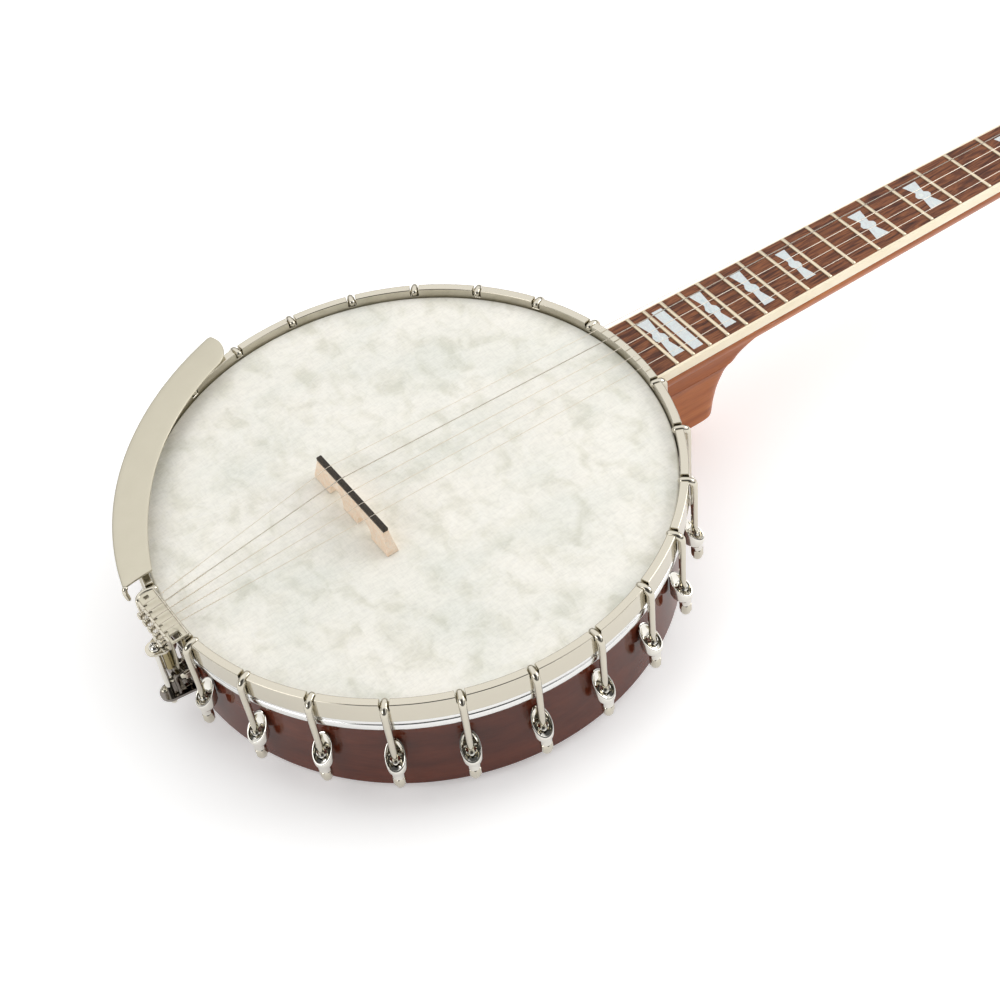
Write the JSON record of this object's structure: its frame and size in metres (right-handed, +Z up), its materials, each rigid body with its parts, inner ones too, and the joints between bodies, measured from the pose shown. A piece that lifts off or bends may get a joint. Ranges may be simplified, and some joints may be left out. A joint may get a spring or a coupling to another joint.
{
  "type": "banjo",
  "caption": "Open-back banjo: round wooden pot with a film head under a notched hoop and hooks, long fretted neck with a short-string peg, sloped peghead, armrest and raised bridge.",
  "frame": {"origin": "centre of the bounding box at its lowest level, where the rim's tail edge and the outer tuner buttons stand", "axes": "+X along the neck towards the peghead, +Y towards the short fifth string, +Z up out of the fretboard; the fretboard is level and the pot leans by the neck angle"},
  "size_m": [0.975, 0.3066, 0.0929],
  "materials": {
    "rim": "stained dark brown, gloss lacquer",
    "tone_ring": "rolled, hidden under the head",
    "head": "mottled off-white film",
    "flesh_hoop": "bright",
    "nickel": "polished nickel plate",
    "satin_nickel": "satin nickel plate",
    "steel": "plain",
    "string": "plain and wound wire",
    "bridge": "plain maple with a dark ebony cap",
    "neck": "reddish-brown stain, satin lacquer",
    "fretboard": "oiled dark wood with cream binding",
    "bone": "smooth",
    "button": "cream, glossy"
  },
  "bodies": {
    "banjo": {"rim": "rim", "tone_ring": "tone_ring", "head": "head", "flesh_hoop": "flesh_hoop", "tension_hoop": "nickel", "coordinator_rod": "steel", "bridge": "bridge", "tailpiece": "nickel", "tailpiece_hanger": "nickel", "tailpiece_screw": "nickel", "armrest": "satin_nickel", "armrest_bracket": "nickel", "neck": "neck", "fretboard": "fretboard", "nut": "bone", "fifth_string_pip": "bone", "bracket_01": "nickel", "bracket_02": "nickel", "bracket_03": "nickel", "bracket_04": "nickel", "bracket_05": "nickel", "bracket_06": "nickel", "bracket_07": "nickel", "bracket_08": "nickel", "bracket_09": "nickel", "bracket_10": "nickel", "bracket_11": "nickel", "bracket_12": "nickel", "bracket_13": "nickel", "bracket_14": "nickel", "bracket_15": "nickel", "bracket_16": "nickel", "bracket_17": "nickel", "bracket_18": "nickel", "bracket_19": "nickel", "bracket_20": "nickel", "bracket_21": "nickel", "bracket_22": "nickel", "bracket_23": "nickel", "bracket_24": "nickel", "string_1": "string", "string_2": "string", "string_3": "string", "string_4": "string", "string_5": "string", "tuner_1_housing": "nickel", "tuner_2_housing": "nickel", "tuner_3_housing": "nickel", "tuner_4_housing": "nickel", "tuner_5_housing": "nickel"},
    "tuner_1_button": {"tuner_1_button": "button"},
    "tuner_1_post": {"tuner_1_post": "nickel"},
    "tuner_2_button": {"tuner_2_button": "button"},
    "tuner_2_post": {"tuner_2_post": "nickel"},
    "tuner_3_button": {"tuner_3_button": "button"},
    "tuner_3_post": {"tuner_3_post": "nickel"},
    "tuner_4_button": {"tuner_4_button": "button"},
    "tuner_4_post": {"tuner_4_post": "nickel"},
    "tuner_5_button": {"tuner_5_button": "button"},
    "tuner_5_post": {"tuner_5_post": "nickel"}
  },
  "joints": [
    {"name": "tuner_1_knob_turn", "type": "hinge", "parent": "banjo", "child": "tuner_1_button", "pos_m": [0.36756, -0.02342, 0.02452], "axis": [0.2611, 0, 0.9653], "continuous": true},
    {"name": "tuner_1_post_turn", "type": "hinge", "parent": "banjo", "child": "tuner_1_post", "pos_m": [0.37749, -0.02342, 0.0612], "axis": [0.2611, 0, 0.9653], "continuous": true},
    {"name": "tuner_2_knob_turn", "type": "hinge", "parent": "banjo", "child": "tuner_2_button", "pos_m": [0.42741, -0.02342, 0.00833], "axis": [0.2611, 0, 0.9653], "continuous": true},
    {"name": "tuner_2_post_turn", "type": "hinge", "parent": "banjo", "child": "tuner_2_post", "pos_m": [0.43734, -0.02342, 0.04501], "axis": [0.2611, 0, 0.9653], "continuous": true},
    {"name": "tuner_3_knob_turn", "type": "hinge", "parent": "banjo", "child": "tuner_3_button", "pos_m": [0.42741, 0.01858, 0.00833], "axis": [0.2611, 0, 0.9653], "continuous": true},
    {"name": "tuner_3_post_turn", "type": "hinge", "parent": "banjo", "child": "tuner_3_post", "pos_m": [0.43734, 0.01858, 0.04501], "axis": [0.2611, 0, 0.9653], "continuous": true},
    {"name": "tuner_4_knob_turn", "type": "hinge", "parent": "banjo", "child": "tuner_4_button", "pos_m": [0.36756, 0.01858, 0.02452], "axis": [0.2611, 0, 0.9653], "continuous": true},
    {"name": "tuner_4_post_turn", "type": "hinge", "parent": "banjo", "child": "tuner_4_post", "pos_m": [0.37749, 0.01858, 0.0612], "axis": [0.2611, 0, 0.9653], "continuous": true},
    {"name": "tuner_5_knob_turn", "type": "hinge", "parent": "banjo", "child": "tuner_5_button", "pos_m": [0.16814, 0.04886, 0.07119], "axis": [0, 1, 0], "continuous": true},
    {"name": "tuner_5_post_turn", "type": "hinge", "parent": "banjo", "child": "tuner_5_post", "pos_m": [0.16814, 0.02286, 0.07119], "axis": [0, 1, 0], "continuous": true}
  ],
  "couplings": [
    {"joint": "tuner_1_post_turn", "follows": "tuner_1_knob_turn", "ratio": 0.25},
    {"joint": "tuner_2_post_turn", "follows": "tuner_2_knob_turn", "ratio": 0.25},
    {"joint": "tuner_3_post_turn", "follows": "tuner_3_knob_turn", "ratio": 0.25},
    {"joint": "tuner_4_post_turn", "follows": "tuner_4_knob_turn", "ratio": 0.25},
    {"joint": "tuner_5_post_turn", "follows": "tuner_5_knob_turn", "ratio": 0.25}
  ]
}
